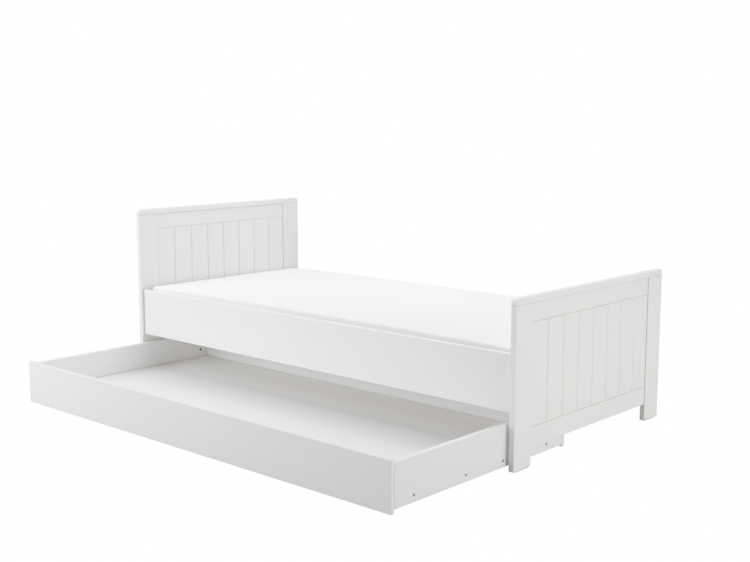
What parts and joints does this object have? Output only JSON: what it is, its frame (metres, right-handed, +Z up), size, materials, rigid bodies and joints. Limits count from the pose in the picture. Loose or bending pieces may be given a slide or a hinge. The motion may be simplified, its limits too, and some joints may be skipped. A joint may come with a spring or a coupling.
{
  "type": "trundle bed",
  "caption": "Single bed with plank headboard and footboard, plain side rails, slatted base and mattress, over a long low drawer that rolls out on castors.",
  "frame": {"origin": "on the floor, at the middle of the rectangle that the bed and the opened drawer cover together", "axes": "+X from the headboard to the footboard, +Y from the drawer side to the other side of the bed, +Z up"},
  "size_m": [2.054, 1.55, 0.76],
  "materials": {
    "white_lacquer": "satin white lacquer on wood board",
    "white_board": "satin white coated board",
    "pine": "planed, uncoated softwood",
    "beech": "turned hardwood",
    "zinc_steel": "bright zinc plate",
    "dark_steel": "blackened steel",
    "glide_plastic": "moulded, matt",
    "wheel_plastic": "moulded, matt",
    "mattress_cloth": "smooth knitted white cover"
  },
  "bodies": {
    "bed_frame": {"headboard_front_post": "white_lacquer", "headboard_rear_post": "white_lacquer", "headboard_cap": "white_lacquer", "headboard_top_rail": "white_lacquer", "headboard_bottom_rail": "white_lacquer", "headboard_planks": "white_lacquer", "footboard_front_post": "white_lacquer", "footboard_rear_post": "white_lacquer", "footboard_cap": "white_lacquer", "footboard_top_rail": "white_lacquer", "footboard_bottom_rail": "white_lacquer", "footboard_planks": "white_lacquer", "post_glides": "glide_plastic", "end_board_dowels": "beech", "front_side_rail": "white_lacquer", "rear_side_rail": "white_lacquer", "front_slat_ledger": "pine", "rear_slat_ledger": "pine", "bracket_head_front": "zinc_steel", "bracket_head_rear": "zinc_steel", "bracket_foot_front": "zinc_steel", "bracket_foot_rear": "zinc_steel", "bracket_screws": "zinc_steel", "ledger_screws": "zinc_steel", "slat_screws": "zinc_steel", "slat_1": "pine", "slat_2": "pine", "slat_3": "pine", "slat_4": "pine", "slat_5": "pine", "slat_6": "pine", "slat_7": "pine", "slat_8": "pine", "slat_9": "pine", "slat_10": "pine", "slat_11": "pine", "slat_12": "pine", "slat_13": "pine", "slat_14": "pine", "mattress": "mattress_cloth"},
    "drawer": {"drawer_front": "white_lacquer", "drawer_back": "white_lacquer", "drawer_left_side": "white_lacquer", "drawer_right_side": "white_lacquer", "drawer_floor_front": "white_board", "drawer_floor_rear": "white_board", "drawer_floor_screws": "dark_steel", "drawer_cam_locks": "dark_steel", "drawer_cam_bolts": "zinc_steel", "drawer_dowels": "beech", "castor_housing_front_left": "zinc_steel", "castor_housing_front_right": "zinc_steel", "castor_housing_rear_left": "zinc_steel", "castor_housing_rear_right": "zinc_steel", "castor_axles": "zinc_steel", "castor_screws": "zinc_steel"},
    "wheel_front_left": {"castor_wheel_front_left": "wheel_plastic"},
    "wheel_front_right": {"castor_wheel_front_right": "wheel_plastic"},
    "wheel_rear_left": {"castor_wheel_rear_left": "wheel_plastic"},
    "wheel_rear_right": {"castor_wheel_rear_right": "wheel_plastic"}
  },
  "joints": [
    {"name": "drawer_slide", "type": "slide", "parent": "bed_frame", "child": "drawer", "axis": [0, -1, 0], "range_m": [-0.592, 0.36]},
    {"name": "roll_front_left", "type": "hinge", "parent": "drawer", "child": "wheel_front_left", "pos_m": [-0.85, -0.689, 0.013], "axis": [1, 0, 0], "continuous": true},
    {"name": "roll_front_right", "type": "hinge", "parent": "drawer", "child": "wheel_front_right", "pos_m": [0.85, -0.689, 0.013], "axis": [1, 0, 0], "continuous": true},
    {"name": "roll_rear_left", "type": "hinge", "parent": "drawer", "child": "wheel_rear_left", "pos_m": [-0.85, 0.074, 0.013], "axis": [1, 0, 0], "continuous": true},
    {"name": "roll_rear_right", "type": "hinge", "parent": "drawer", "child": "wheel_rear_right", "pos_m": [0.85, 0.074, 0.013], "axis": [1, 0, 0], "continuous": true}
  ],
  "couplings": [
    {"joint": "roll_front_left", "follows": "drawer_slide", "rad_per_m": 76.923},
    {"joint": "roll_front_right", "follows": "drawer_slide", "rad_per_m": 76.923},
    {"joint": "roll_rear_left", "follows": "drawer_slide", "rad_per_m": 76.923},
    {"joint": "roll_rear_right", "follows": "drawer_slide", "rad_per_m": 76.923}
  ]
}
